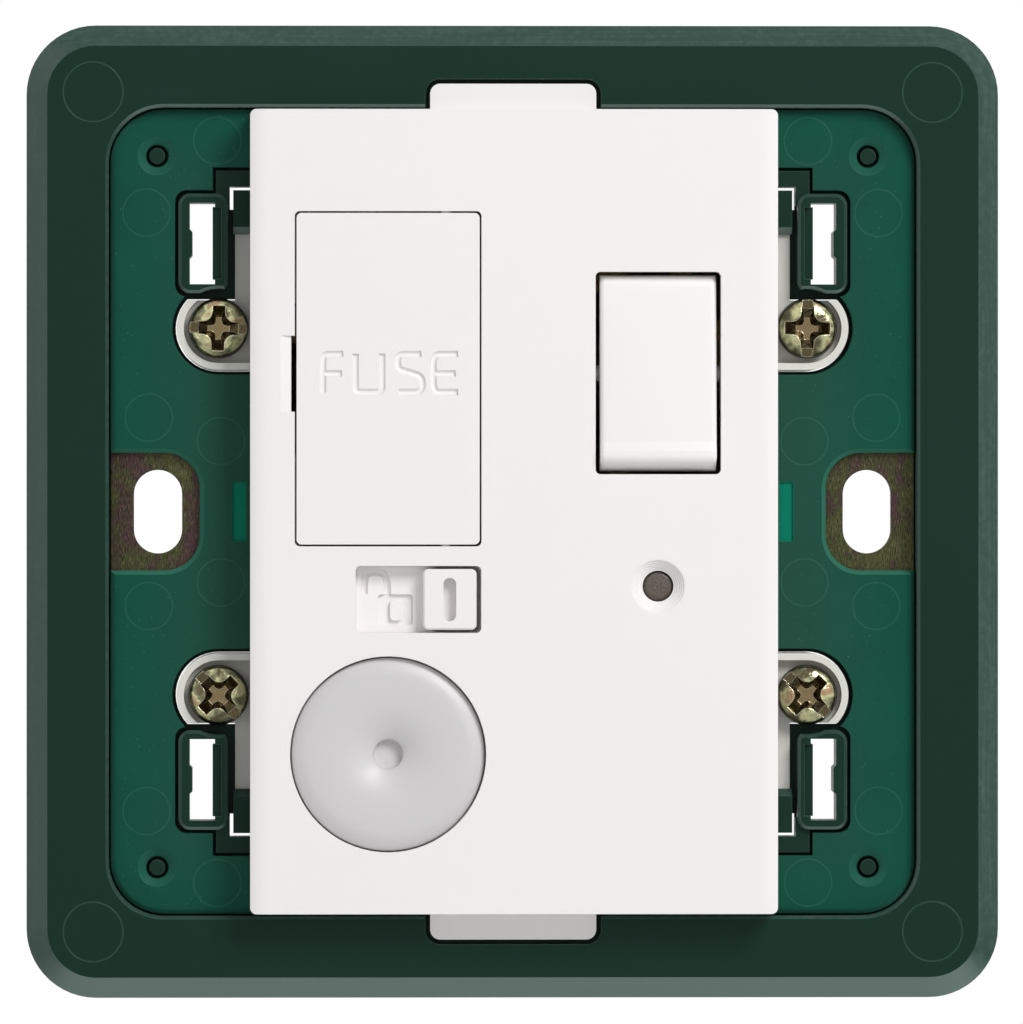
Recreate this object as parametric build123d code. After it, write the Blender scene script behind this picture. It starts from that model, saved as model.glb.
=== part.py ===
from build123d import *
from math import cos, radians, sin, sqrt
import os

# Fused spur unit on a square mounting frame for a single wall box, in millimetres.
# It is drawn lying on its back: x across the face, y up the face and z out of the wall,
# with the wall at z = 0. The export at the end stands it up against the wall.

# Mounting frame: bevelled border, thin floor and the well that the sheets and the module lie in
border_width = 7.0
frame_corner = 5.9
frame_front = 5.0
bevel_width = 1.8
bevel_depth = 2.2
floor_thick = 1.2
floor_gap = 0.12
well_gap = 0.3
well_corner = 4.7
well_lip = 0.25
sheet_gap = 0.15

# Steel fixing plate with upright slots at the box screw centres
plate_thick = 1.2
slot_spacing = 60.3
slot_width = 4.1
slot_length = 7.1
slot_relief = 1.0

# Insulating cover over the steel, open at the fixing lugs
shield_thick = 1.2
shield_bevel = 0.35
lug_window_reach = 3.55
lug_window_half = 5.0
lug_window_corner = 3.0
peg_inset = 3.95
peg_radius = 0.65
peg_stub = 0.2
peg_hole_gap = 0.3
peg_dish_radius = 1.65
peg_dish_depth = 0.5
key_slot_reach = 2.75
key_slot_width = 1.1
key_slot_length = 5.0
key_slot_sink = 0.2
key_fit = 0.05

# White module: front cover, as wide as the base in it and as high as what stands in a row on its face
face_head = 8.63
face_foot = 5.35
face_corner = 0.55
face_front = 9.0
face_thick = 1.6
cap_wall = 1.6
cap_fit = 0.2
cap_clear = 0.1
crown_width = 1.5
crown_drop = 0.3
tab_half = 7.05
tab_length = 2.3
tab_thick = 1.1
tab_corner = 0.85
notch_gap = 0.4
notch_corner = 1.25

# White module: base housing, a shouldered box behind the front cover
body_half = 20.5
neck_step = 3.3
shoulder_drop = 1.6
body_end_inset = 3.0
body_depth = 12.0
body_wall = 1.5
body_floor = 1.6
body_rise = 5.4
body_gap = 0.4
body_corner = 1.5

# Ears for the terminals and the shelves that the snap fingers hold
ear_reach = 4.5
ear_lift = 1.42
ear_radius = 3.54
ear_wall = 0.6
ear_crop = 2.4
ear_rise = 3.4
ear_gap = 0.38
shelf_reach = 3.1
shelf_thick = 1.0
shelf_drop = 2.4

# Clip towers and snap fingers of the frame
tower_reach = 3.7
tower_width = 4.2
tower_lift = 2.98
tower_length = 8.45
tower_corner = 1.0
tower_front = 4.2
tower_gap = 0.28
window_inner_wall = 1.1
window_outer_wall = 0.95
window_low_wall = 0.75
window_high_wall = 0.8
tongue_low_gap = 0.46
tongue_high_gap = 0.34
tongue_reach = 0.2
tongue_sink = 0.6
tongue_thick = 0.75
cam_inset = 2.45
cam_rise = 0.23
finger_root_step = 1.2
finger_reach = 3.25
finger_drop = 1.0
finger_thick = 1.3
finger_front = 3.4
finger_slit = 0.3
hook_length = 2.43
hook_inner_reach = 1.1
hook_clear = 0.12
hook_ramp = 0.6
fence_reach = 1.0
fence_rise = 1.95

# Fuse carrier: a door that turns on two small pins near its right edge
door_inset = 9.85
door_width = 15.76
door_overhang = 1.45
door_gap = 0.15
door_corner = 0.43
hinge_inset = 3.0
hinge_sink = 0.8
hinge_pin = 0.45
hinge_fit = 0.06
hinge_pin_length = 1.1
hinge_boss = 1.4
ledge_width = 0.7
ledge_thick = 1.0
pry_length = 6.4
pry_lift = 0.42
pry_slot = 0.3
pry_scoop = 0.9
pry_scoop_depth = 0.25
cheek_half = 4.0
cheek_thick = 0.85
cheek_bevel = 1.7
grip_thick = 0.9
grip_length = 8.4
grip_wrap = 1.6

# Cartridge fuse
fuse_length = 25.4
fuse_radius = 3.175
fuse_wall = 0.3
tube_fit = 0.02
fuse_cap_length = 5.6
fuse_sink = 5.8
fuse_fit = 0.1
clip_gap = 0.12
clip_thick = 0.5
clip_width = 2.8
clip_inset = 4.0

# Rocker of the switch, drawn level and then tipped to its off position
rocker_inset = 8.33
rocker_lift = 0.49
rocker_width = 9.85
rocker_reach = 8.35
rocker_side_gap = 0.37
rocker_end_gap = 0.2
rocker_proud = 0.1
rocker_rise = 3.0
rocker_skirt = 1.6
rocker_wall = 1.2
rocker_tilt = 5.0
rocker_corner = 0.43
rocker_round = 1.0
rocker_lip_width = 0.8
rocker_lip_rise = 0.25
rocker_pin = 0.7
rocker_pin_fit = 0.06
cheek_wall = 1.1
rocker_cheek_half = 3.0

# Switch mechanism: two poles, one each side of the rocker's middle
pole_inset = 2.225
sleeve_radius = 1.9
sleeve_length = 4.0
plunger_radius = 1.25
plunger_fit = 0.1
plunger_tip_gap = 0.18
plunger_length = 7.0
plunger_point = 0.8
spring_wall = 0.3
fulcrum_z = -4.6
fulcrum_radius = 0.4
fulcrum_fit = 0.06
arm_width = 3.2
arm_half = 6.5
arm_thick = 1.0
arm_drop = 0.15
arm_tilt = 7.0
contact_reach = 5.8
contact_radius = 1.2
contact_rise = 0.5
contact_gap = 0.15
pole_barrier = 0.9

# Current strips on the floor of the base
strip_width = 2.0
strip_thick = 0.8
strip_fit = 0.15
strip_post = 1.0
strip_clear = 0.1

# Terminals in the ears
cage_half_x = 2.3
cage_half_y = 1.85
cage_height = 6.6
cage_fit = 0.1
wire_radius = 1.5
wire_drop = 3.2
screw_radius = 1.4
screw_fit = 0.03
screw_pass = 0.25
head_radius = 2.45
head_height = 1.9
head_lift = 0.5
head_dome = 0.5
drive_length = 4.3
drive_width = 1.0
drive_depth = 0.9

# Lock slider under the fuse door
lock_width = 10.6
lock_height = 5.65
lock_shift = 2.56
lock_bridge = 1.66
lock_corner = 0.43
lock_lap = 0.5
lock_thick = 1.4
lock_clear = 0.1
button_width = 4.53
button_height = 5.14
button_gap = 0.39
button_corner = 0.45
button_sink = 0.1
button_bevel = 0.15
groove_width = 1.07
groove_length = 3.64
groove_depth = 0.7
rail_thick = 0.65
rail_gap = 0.14
rail_depth = 1.7
bolt_width = 1.6
bolt_thick = 1.0
bolt_drop = 1.9
bolt_clear = 0.2
bolt_bite = 0.9
rest_thick = 1.0

# Cord outlet and the duct behind it
outlet_bridge = 2.11
outlet_radius = 8.15
outlet_gap = 0.13
outlet_flange = 0.5
outlet_flange_thick = 1.4
outlet_bevel = 0.6
outlet_sink = 0.1
outlet_funnel = 3.3
outlet_funnel_depth = 0.45
outlet_hole = 1.25
outlet_hole_depth = 0.9
outlet_skin = 0.7
outlet_hollow = 1.75
duct_wall = 1.0

# Indicator
lens_drop = 18.01
lens_radius = 1.25
lens_bevel = 0.4
lens_fit = 0.06
lens_flange = 0.85
lens_flange_thick = 1.3
lens_sink = 1.0
dimple_radius = 2.35
dimple_depth = 0.9
lamp_radius = 1.5
lamp_height = 3.2
lamp_point = 1.0
lamp_gap = 0.3
board_width = 7.0
board_height = 9.0
board_thick = 1.2
board_post = 1.2
board_inset = 1.5

# Cord clamp, earth terminal and assembly screws at the rear
clamp_y = -7.5
clamp_span = 11.0
clamp_bar_width = 4.0
clamp_bar_thick = 1.6
clamp_post_radius = 2.2
clamp_gap = 3.6
clamp_rib = 0.5
earth_x = 9.5
earth_y = -6.0
earth_length = 11.0
earth_width = 5.4
earth_height = 6.0
earth_rim = 0.8
earth_rim_height = 1.0
earth_screw_spacing = 5.6
rear_screw_radius = 1.3
rear_head_radius = 2.2
rear_head_height = 1.5
rear_slot = 0.6
boss_radius = 2.1
boss_seat = 1.2
boss_grip = 5.0
boss_side_inset = 4.2
boss_end_inset = 4.0
boss_clear = 0.4

# Levels worked out from the thicknesses
plate_back = floor_thick
plate_front = plate_back + plate_thick
shield_front = plate_front + shield_thick
cap_rim = shield_front + cap_clear
face_back = face_front - face_thick
shelf_front = floor_thick + shelf_thick
rear = -body_depth
deck = rear + body_floor
deck_top = deck + strip_thick

# The fuse sets the door, the row of door, lock and outlet sets the face, and the face sets the frame
door_height = fuse_length + 2 * door_overhang
lock_row = lock_bridge + lock_height
outlet_row = outlet_bridge + 2 * outlet_radius
face_height = face_head + door_height + lock_row + outlet_row + face_foot
face_width = 2 * (body_half + cap_fit + cap_wall)
well_side = face_height + 2 * well_gap
frame_side = well_side + 2 * border_width
sheet_side = well_side - 2 * sheet_gap
sheet_corner = well_corner - sheet_gap
peg_place = sheet_side / 2 - peg_inset
lug_x = slot_spacing / 2
tab_reach = face_height / 2 + tab_length

# Places across the unit, out from the base
neck_half = body_half - neck_step
key_slot_x = body_half + key_slot_reach
ear_x = body_half + ear_reach
shelf_out = body_half + shelf_reach
tower_in = body_half + tower_reach
tower_out = tower_in + tower_width
window_in = tower_in + window_inner_wall
window_out = tower_out - window_outer_wall
finger_root = neck_half + finger_root_step
finger_tip = body_half + finger_reach
hook_in = body_half + hook_inner_reach
fence_out = tower_in + fence_reach
door_x = door_inset - body_half
door_left = door_x - door_width / 2
door_right = door_x + door_width / 2
hinge_x = door_right - hinge_inset
rocker_x = body_half - rocker_inset
pole_offset = rocker_width / 2 - pole_inset
pole_x = [rocker_x - pole_offset, rocker_x + pole_offset]
lens_x = rocker_x
lock_x = door_x + lock_shift
lock_left = lock_x - lock_width / 2
lock_right = lock_x + lock_width / 2
lock_travel = lock_width - button_width - 2 * button_gap
button_x = lock_right - button_gap - button_width / 2
outlet_x = door_x
outlet_run_x = strip_clear + strip_width / 2 + body_wall - body_half
boss_x = neck_half - boss_side_inset
boss_low_x = outlet_x + outlet_radius + outlet_flange + boss_clear + boss_radius

# Places up the unit: the ears and towers spread with the door, the rest goes down from the top of the face
ear_y = door_height / 2 + ear_lift
ear_top = ear_y + ear_crop
tower_low = ear_y + tower_lift
tower_high = tower_low + tower_length
window_low = tower_low + window_low_wall
window_high = tower_high - window_high_wall
tongue_low = window_low + tongue_low_gap
tongue_high = window_high - tongue_high_gap
cam_low = window_low + cam_inset
cam_high = window_high - cam_inset
body_shoulder = tower_high - shoulder_drop
shelf_end = tower_high - shelf_drop
finger_low = tower_high - finger_drop
finger_high = finger_low + finger_thick
hook_reach = finger_low - hook_length
fence_high = tower_high + fence_rise
body_end = face_height / 2 - body_end_inset
boss_y = body_end - boss_end_inset
door_y = face_height / 2 - face_head - door_height / 2
door_low = door_y - door_height / 2
lock_y = door_low - lock_bridge - lock_height / 2
outlet_y = lock_y - lock_height / 2 - outlet_bridge - outlet_radius
rocker_y = door_y + rocker_lift
contact_y = rocker_y + contact_reach
lens_y = rocker_y - lens_drop
live_run_y = door_y + fuse_length / 2 - clip_inset
neutral_run_y = body_shoulder - body_wall - strip_clear - strip_width / 2

# Levels of the working pieces
hinge_z = face_front - hinge_sink
fuse_z = face_front - fuse_sink
pivot_z = face_front + rocker_proud - rocker_rise
lens_top = face_front - lens_sink
board_front = face_back - lens_flange_thick - lamp_gap - lamp_height


# Small helpers


def span(x, y):
    """A rectangle from its two ranges."""
    middle = Pos((x[0] + x[1]) / 2, (y[0] + y[1]) / 2)
    return middle * Rectangle(x[1] - x[0], y[1] - y[0])


def slab(sketch, low, high):
    """A sketch given thickness between two levels."""
    return extrude(Pos(0, 0, low) * sketch, high - low)


def block(x, y, z):
    """A box from its three ranges."""
    return slab(span(x, y), z[0], z[1])


def rod(x, y, radius, low, high):
    """An upright cylinder between two levels."""
    return slab(Pos(x, y) * Circle(radius), low, high)


def cross_rod(x, y, z, radius):
    """A cylinder along y between two ends."""
    length = y[1] - y[0]
    return Pos(x, (y[0] + y[1]) / 2, z) * Rot(X=90) * Cylinder(radius, length)


def around(value, half):
    """A range centred on a value."""
    return (value - half, value + half)


def left_and_right(shape):
    return shape + mirror(shape, Plane.YZ)


def four_ways(shape):
    """A shape drawn in the upper right quarter, repeated in all four."""
    pair = left_and_right(shape)
    return pair + mirror(pair, Plane.XZ)


def top_edges(part):
    return part.faces().sort_by(Axis.Z)[-1].edges()


# Outlines shared by pieces that fit each other


def body_outline(grow=0):
    middle = Rectangle(2 * (body_half + grow), 2 * (body_shoulder + grow))
    neck = Rectangle(2 * (neck_half + grow), 2 * (body_end + grow))
    return middle + neck


def ear_outline(grow=0):
    """One ear: a round end, run in to the body and cut straight beside the clip tower."""
    radius = ear_radius + grow
    end = Pos(ear_x, ear_y) * Circle(radius)
    root = span((body_half - body_wall, ear_x), (ear_y - radius, ear_top + grow))
    kept = span((0, ear_x + radius), (0, ear_top + grow))
    return (end + root) & kept


def tower_outline(grow=0):
    size = (tower_out - tower_in + 2 * grow, tower_high - tower_low + 2 * grow)
    centre = Pos((tower_in + tower_out) / 2, (tower_low + tower_high) / 2)
    return centre * RectangleRounded(size[0], size[1], tower_corner)


def fence_outline(grow=0):
    """The raised step beside a snap finger."""
    return span((neck_half, fence_out + grow), (tower_high - tower_corner, fence_high + grow))


def well_outline():
    """The opening in the sheets, round everything that stands up through them."""
    towers = tower_outline(tower_gap) + fence_outline(tower_gap)
    recess = span((neck_half, tower_in + tower_corner), (ear_y, fence_high))
    quarter = ear_outline(ear_gap) + towers + recess
    return body_outline(body_gap) + four_ways(quarter)


# Mounting frame


def clip_window():
    """The through window of a clip tower, narrowed by its catch tongue and its cam."""
    opening = span((window_in, window_out), (window_low, window_high))
    tongue = span((window_in, window_in + tongue_reach), (tongue_low, tongue_high))
    cam = Polygon(
        (window_out, cam_low - cam_rise),
        (window_out, cam_high + cam_rise),
        (window_out - cam_rise, cam_high),
        (window_out - cam_rise, cam_low),
        align=None,
    )
    return opening - tongue - cam


def clip_tower():
    outline = tower_outline() - Pos(ear_x, ear_y) * Circle(tower_low - ear_y + ear_gap)
    tower = slab(outline, 0, tower_front)
    tower = chamfer(top_edges(tower), well_lip)
    tongue_edge = window_in + tongue_reach
    rebate = span((tongue_edge - tongue_thick, tongue_edge), (tongue_low, tongue_high))
    return tower - slab(rebate, tower_front - tongue_sink, tower_front)


def snap_finger():
    """A spring bar along x with a hook that lies over the shelf of the base."""
    hook_back = shelf_front + hook_clear
    bar = block((finger_root, finger_tip), (finger_low, finger_high), (0, finger_front))
    hook_side = Polygon(
        (finger_low, hook_back),
        (finger_low, finger_front),
        (hook_reach + hook_ramp, finger_front),
        (hook_reach, hook_back + hook_ramp / 2),
        (hook_reach, hook_back),
        align=None,
    )
    hook = Pos(hook_in, 0, 0) * extrude(Plane.YZ * hook_side, finger_tip - hook_in)
    return bar + hook


def finger_slot():
    """The cut that frees a snap finger from the floor, with the slits that show round it."""
    freed = (finger_low - finger_slit, finger_high + finger_slit)
    beside = span((finger_root, finger_tip + finger_slit), freed)
    below = span((finger_root, finger_tip), (shelf_end + finger_slit, finger_low))
    return beside + below


def mounting_frame():
    border = slab(RectangleRounded(frame_side, frame_side, frame_corner), 0, frame_front)
    front = border.faces().sort_by(Axis.Z)[-1]
    border = chamfer(front.edges(), bevel_width, bevel_depth, reference=front)
    well = RectangleRounded(well_side, well_side, well_corner)
    border -= slab(well, floor_thick, frame_front)
    rim = border.faces().filter_by(Axis.Z).sort_by(Axis.Z)[-1]
    border = chamfer(rim.inner_wires()[0].edges(), well_lip)
    notch_half = tab_half + notch_gap
    notch_end = tab_reach + notch_gap
    notch = RectangleRounded(2 * notch_half, 2 * notch_end, notch_corner)
    border -= slab(notch, cap_rim - body_gap, frame_front)
    holes = body_outline(floor_gap) + four_ways(ear_outline(floor_gap) + finger_slot())
    holes += left_and_right(Pos(lug_x, 0) * lug_slot(slot_relief))
    border -= slab(holes, 0, floor_thick)
    fence = slab(fence_outline() - finger_slot() - body_outline(floor_gap), 0, finger_front)
    peg = rod(peg_place, peg_place, peg_radius, 0, shield_front - peg_stub)
    stands = clip_tower() + fence - slab(clip_window(), 0, tower_front)
    border -= four_ways(slab(clip_window(), 0, floor_thick))
    return border + four_ways(stands + snap_finger() + peg)


# Sheets in the well


def lug_slot(grow=0):
    """An upright slot for a box screw."""
    return SlotOverall(slot_length + 2 * grow, slot_width + 2 * grow, rotation=90)


def key_slot(grow=0):
    return Pos(key_slot_x, 0) * Rectangle(key_slot_width + 2 * grow, key_slot_length + 2 * grow)


def fixing_plate():
    sheet = RectangleRounded(sheet_side, sheet_side, sheet_corner) - well_outline()
    sheet -= left_and_right(Pos(lug_x, 0) * lug_slot() + key_slot(key_fit))
    sheet -= four_ways(Pos(peg_place, peg_place) * Circle(peg_radius + peg_hole_gap))
    return slab(sheet, plate_back, plate_front)


def lug_window():
    """The bite out of the cover that bares a fixing lug."""
    inner = lug_x - lug_window_reach
    outer = sheet_side / 2 + lug_window_corner
    size = (outer - inner, 2 * lug_window_half)
    return Pos((inner + outer) / 2, 0) * RectangleRounded(size[0], size[1], lug_window_corner)


def insulating_cover():
    outline = RectangleRounded(sheet_side, sheet_side, sheet_corner) - left_and_right(lug_window())
    cover = slab(outline, plate_front, shield_front)
    cover = chamfer(top_edges(cover), shield_bevel)
    cover -= slab(well_outline(), plate_front, shield_front)
    hole_radius = peg_radius + peg_hole_gap
    dish_back = shield_front - peg_dish_depth
    hole = rod(peg_place, peg_place, hole_radius, plate_front, shield_front)
    dish = Cone(hole_radius, peg_dish_radius, peg_dish_depth)
    dish = Pos(peg_place, peg_place, dish_back + peg_dish_depth / 2) * dish
    cover -= four_ways(hole + dish)
    key = slab(key_slot(), plate_back, plate_front)
    sink = slab(key_slot(), shield_front - key_slot_sink, shield_front)
    return cover - left_and_right(sink) + left_and_right(key)


# Front cover


def crowned_block():
    """The cap's outer form: the two long edges of the face fall away in a soft curve."""
    half = face_width / 2
    flat = half - crown_width
    radius = (crown_width**2 + crown_drop**2) / (2 * crown_drop)
    edge = face_front - crown_drop
    lines = [
        Line((-half, cap_rim), (-half, edge)),
        RadiusArc((-half, edge), (-flat, face_front), radius),
        Line((-flat, face_front), (flat, face_front)),
        RadiusArc((flat, face_front), (half, edge), radius),
        Line((half, edge), (half, cap_rim)),
        Line((half, cap_rim), (-half, cap_rim)),
    ]
    section = Plane.XZ * make_face(lines)
    form = extrude(section, face_height / 2, both=True)
    return fillet(form.edges().filter_by(Axis.Z), face_corner)


def door_opening():
    return Pos(door_x, door_y) * RectangleRounded(door_width, door_height, door_corner)


def rocker_opening():
    width = rocker_width + 2 * rocker_side_gap
    height = 2 * (rocker_reach + rocker_end_gap)
    return Pos(rocker_x, rocker_y) * RectangleRounded(width, height, rocker_corner)


def lock_window():
    return Pos(lock_x, lock_y) * RectangleRounded(lock_width, lock_height, lock_corner)


def pry_cut():
    """A slot beside the door's left edge for a screwdriver, and the slope that leads to it."""
    y = door_y + pry_lift
    edge = door_left - pry_slot
    ramp = Polygon(
        (edge - pry_scoop, face_front),
        (edge, face_front),
        (edge, face_front - pry_scoop_depth),
        align=None,
    )
    slope = Pos(0, y, 0) * extrude(Plane.XZ * ramp, pry_length / 2, both=True)
    return slope + block((edge, door_left), around(y, pry_length / 2), (face_back, face_front))


def hinge_bosses():
    """Bearings for the door's pins, above and below its opening."""
    x = around(hinge_x, hinge_boss)
    z = (face_back - hinge_boss, face_back)
    reach = door_height / 2 + hinge_pin_length
    upper = block(x, (door_y + door_height / 2, door_y + reach), z)
    return upper + block(x, (door_y - reach, door_low), z)


def rocker_cheeks():
    """Two walls that carry the rocker's pins."""
    inner = rocker_width / 2 + rocker_side_gap
    z = (pivot_z - rocker_pin - cheek_wall, face_back)
    y = around(rocker_y, rocker_cheek_half)
    left = block((rocker_x - inner - cheek_wall, rocker_x - inner), y, z)
    right = block((rocker_x + inner, rocker_x + inner + cheek_wall), y, z)
    return left + right


def lock_rails():
    """Ribs above and below the lock's plate that keep it level."""
    half = lock_height / 2 + lock_lap + rail_gap
    x = (lock_left - lock_lap, lock_right)
    z = (face_back - rail_depth, face_back)
    upper = block(x, (lock_y + half, lock_y + half + rail_thick), z)
    lower = block(x, (lock_y - half - rail_thick, lock_y - half), z)
    return upper + lower


def door_ledges():
    """Stops behind the door's left edge, one each side of the pry slot."""
    x = (door_left - ledge_width, door_left + ledge_width)
    z = (face_back - ledge_thick, face_back)
    upper = (door_y + pry_length, door_y + door_height / 2 + ledge_width)
    lower = (door_low - ledge_width, door_y - pry_length)
    return block(x, upper, z) + block(x, lower, z)


def assembly_places():
    """Centres of the four screws that join the base to the cap."""
    return [(-boss_x, boss_y), (boss_x, boss_y), (boss_low_x, -boss_y), (boss_x, -boss_y)]


def front_cover():
    form = crowned_block()
    hollow = Rectangle(face_width - 2 * cap_wall, face_height - 2 * cap_wall)
    cap = form - slab(hollow, cap_rim, face_back)
    cap += hinge_bosses() + rocker_cheeks() + lock_rails()
    for x, y in assembly_places():
        cap += rod(x, y, boss_radius, deck + boss_seat, face_back)
        cap -= rod(x, y, rear_screw_radius + screw_fit, deck + boss_seat, deck + boss_seat + boss_grip)
    openings = door_opening() + rocker_opening() + lock_window()
    openings += Pos(outlet_x, outlet_y) * Circle(outlet_radius + outlet_gap)
    openings += Pos(lens_x, lens_y) * Circle(lens_radius + lens_fit)
    cap -= slab(openings, face_back, face_front)
    cap += door_ledges()
    dimple = Cone(lens_radius + lens_fit, dimple_radius, dimple_depth)
    cap -= Pos(lens_x, lens_y, face_front - dimple_depth / 2) * dimple
    cap -= pry_cut()
    pin_reach = door_height / 2 + hinge_pin_length + hinge_fit
    cap -= cross_rod(hinge_x, around(door_y, pin_reach), hinge_z, hinge_pin + hinge_fit)
    bearing_length = rocker_width + 2 * (rocker_side_gap + cheek_wall)
    bearing = Rot(Y=90) * Cylinder(rocker_pin + rocker_pin_fit, bearing_length)
    cap -= Pos(rocker_x, rocker_y, pivot_z) * bearing
    tabs = RectangleRounded(2 * tab_half, 2 * tab_reach, tab_corner)
    tabs -= Rectangle(face_width, face_height - 2 * cap_wall)
    return cap + slab(tabs, cap_rim, cap_rim + tab_thick)


# Base housing


def ear_wall_outline():
    """The C-shaped guard round a terminal screw."""
    ring = Pos(ear_x, ear_y) * (Circle(ear_radius) - Circle(ear_radius - ear_wall))
    kept = span((ear_x, ear_x + ear_radius), (ear_y - ear_radius, ear_top))
    low = ear_y - ear_radius
    return (ring & kept) + span((body_half, ear_x), (low, low + ear_wall))


def ear():
    """An ear with its pocket for a terminal cage, a screw hole and a wire hole in its straight side."""
    column = slab(ear_outline(), deck, shelf_front)
    guard = slab(ear_wall_outline(), shelf_front, ear_rise)
    cage_top = deck_top + cage_height
    pocket = (around(ear_x, cage_half_x + cage_fit), around(ear_y, cage_half_y + cage_fit))
    column -= block(*pocket, (deck, cage_top + cage_fit))
    channel = ((body_half - body_wall, ear_x), around(ear_y, strip_width / 2 + strip_fit))
    column -= block(*channel, (deck, deck_top + strip_fit))
    column -= rod(ear_x, ear_y, screw_radius + screw_pass, cage_top, shelf_front)
    column -= cross_rod(ear_x, (ear_y, ear_top), cage_top - wire_drop, wire_radius)
    return column + guard


def shelf():
    x = (body_half - body_wall, shelf_out)
    return block(x, (ear_top - ear_wall, shelf_end), (floor_thick, shelf_front))


def strip_channels():
    """Gaps in the side walls where the strips run out to the ears."""
    half = strip_width / 2 + strip_fit
    gap = block((body_half - body_wall, body_half), around(ear_y, half), (deck, deck_top + strip_fit))
    return four_ways(gap)


def base_housing():
    outer = slab(body_outline(), rear, body_rise)
    upright = outer.edges().filter_by(Axis.Z)
    corners = [edge for edge in upright if abs(edge.center().Y) > body_shoulder + body_gap]
    outer = fillet(corners, body_corner)
    base = outer - slab(body_outline(-body_wall), deck, body_rise)
    base = base - strip_channels() + four_ways(ear() + shelf())
    bore = outlet_radius + outlet_flange - outlet_hollow - duct_wall
    duct_top = face_back - outlet_flange_thick
    base += rod(outlet_x, outlet_y, bore + duct_wall, rear, duct_top)
    base -= rod(outlet_x, outlet_y, bore, rear, duct_top)
    rest_x = (outlet_run_x + strip_width, lock_right + lock_lap)
    rest_z = (deck, face_back - lock_thick - 2 * lock_clear)
    base += block(rest_x, around(lock_y, rest_thick / 2), rest_z)
    barrier_y = (rocker_y - arm_half, contact_y + contact_radius)
    base += block(around(rocker_x, pole_barrier / 2), barrier_y, (deck, fulcrum_z))
    for x, y in board_places():
        base += rod(x, y, board_post, deck, board_front - board_thick)
    for x, y in assembly_places():
        base -= rod(x, y, rear_screw_radius + screw_pass, rear, deck)
    for x in clamp_places():
        base += rod(x, clamp_y, clamp_post_radius, rear - clamp_gap, rear)
        base -= rod(x, clamp_y, rear_screw_radius + screw_fit, rear - clamp_gap, deck)
    rim = Rectangle(earth_length + 2 * earth_rim, earth_width + 2 * earth_rim)
    rim -= Rectangle(earth_length, earth_width)
    return base + slab(Pos(earth_x, earth_y) * rim, rear - earth_rim_height, rear)


# Fuse carrier and fuse


def fuse_door():
    """Door, two end cheeks, two grips for the fuse and the hinge pins."""
    plate = RectangleRounded(door_width - 2 * door_gap, door_height - 2 * door_gap, door_corner)
    door = slab(Pos(door_x, door_y) * plate, face_back, face_front)
    cheek_from = fuse_length / 2 + fuse_fit
    cheek_to = cheek_from + cheek_thick
    cheek_z = (fuse_z - grip_wrap, face_back)
    cheek_x = around(door_x, cheek_half)
    for cheek_y in ((cheek_from, cheek_to), (-cheek_to, -cheek_from)):
        cheek = block(cheek_x, (door_y + cheek_y[0], door_y + cheek_y[1]), cheek_z)
        door += chamfer(cheek.edges().filter_by(Axis.Y).group_by(Axis.Z)[0], cheek_bevel)
    grip_from = fuse_radius - fuse_wall + fuse_fit
    for side in (-1, 1):
        ends = sorted((door_x + side * grip_from, door_x + side * (grip_from + grip_thick)))
        door += block(ends, around(door_y, grip_length / 2), cheek_z)
    reach = door_height / 2 + hinge_pin_length
    door += cross_rod(hinge_x, around(door_y, reach), hinge_z, hinge_pin)
    return door - bolt_slot()


def bolt_slot():
    """The cut in the lower cheek that the lock's bolt slides into."""
    x = (button_x - lock_travel - bolt_width, door_x + cheek_half)
    y = (door_low, door_y - fuse_length / 2)
    middle = face_back - lock_clear - lock_thick - bolt_drop + bolt_thick / 2
    return block(x, y, around(middle, bolt_thick / 2 + bolt_clear))


def fuse_tube():
    half = fuse_length / 2 - fuse_wall - tube_fit
    return cross_rod(door_x, around(door_y, half), fuse_z, fuse_radius - fuse_wall - tube_fit)


def fuse_caps():
    end = fuse_length / 2
    caps = []
    for side in (-1, 1):
        outer = sorted((door_y + side * end, door_y + side * (end - fuse_cap_length)))
        inner = sorted((door_y + side * (end - fuse_wall), door_y + side * (end - fuse_cap_length)))
        cap = cross_rod(door_x, outer, fuse_z, fuse_radius)
        caps.append(cap - cross_rod(door_x, inner, fuse_z, fuse_radius - fuse_wall))
    return Part() + caps


def fuse_clip(y):
    """A half-round spring behind one fuse cap, open towards the way the carrier swings out."""
    inner = fuse_radius + clip_gap
    ring = Circle(inner + clip_thick) - Circle(inner)
    swing = degrees_of_swing()
    freed = Rot(Z=swing) * span((0, 2 * inner + clip_thick), around(0, 2 * inner))
    leg = span(around(0, clip_thick / 2), (deck - fuse_z, -inner - clip_thick / 2))
    section = Plane.XZ * (Pos(door_x, fuse_z) * (ring - freed + leg))
    return Pos(0, y, 0) * extrude(section, clip_width / 2, both=True)


def degrees_of_swing():
    """The direction in which the fuse first leaves its clips, from the x axis."""
    return 180 - Vector(hinge_z - fuse_z, hinge_x - door_x, 0).get_angle(Vector(1, 0, 0))


# Switch


def rocker_end(z):
    """Half length of the rocker at a height over its pivot: its ends are round about the pivot."""
    return sqrt(rocker_reach**2 - z**2)


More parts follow.
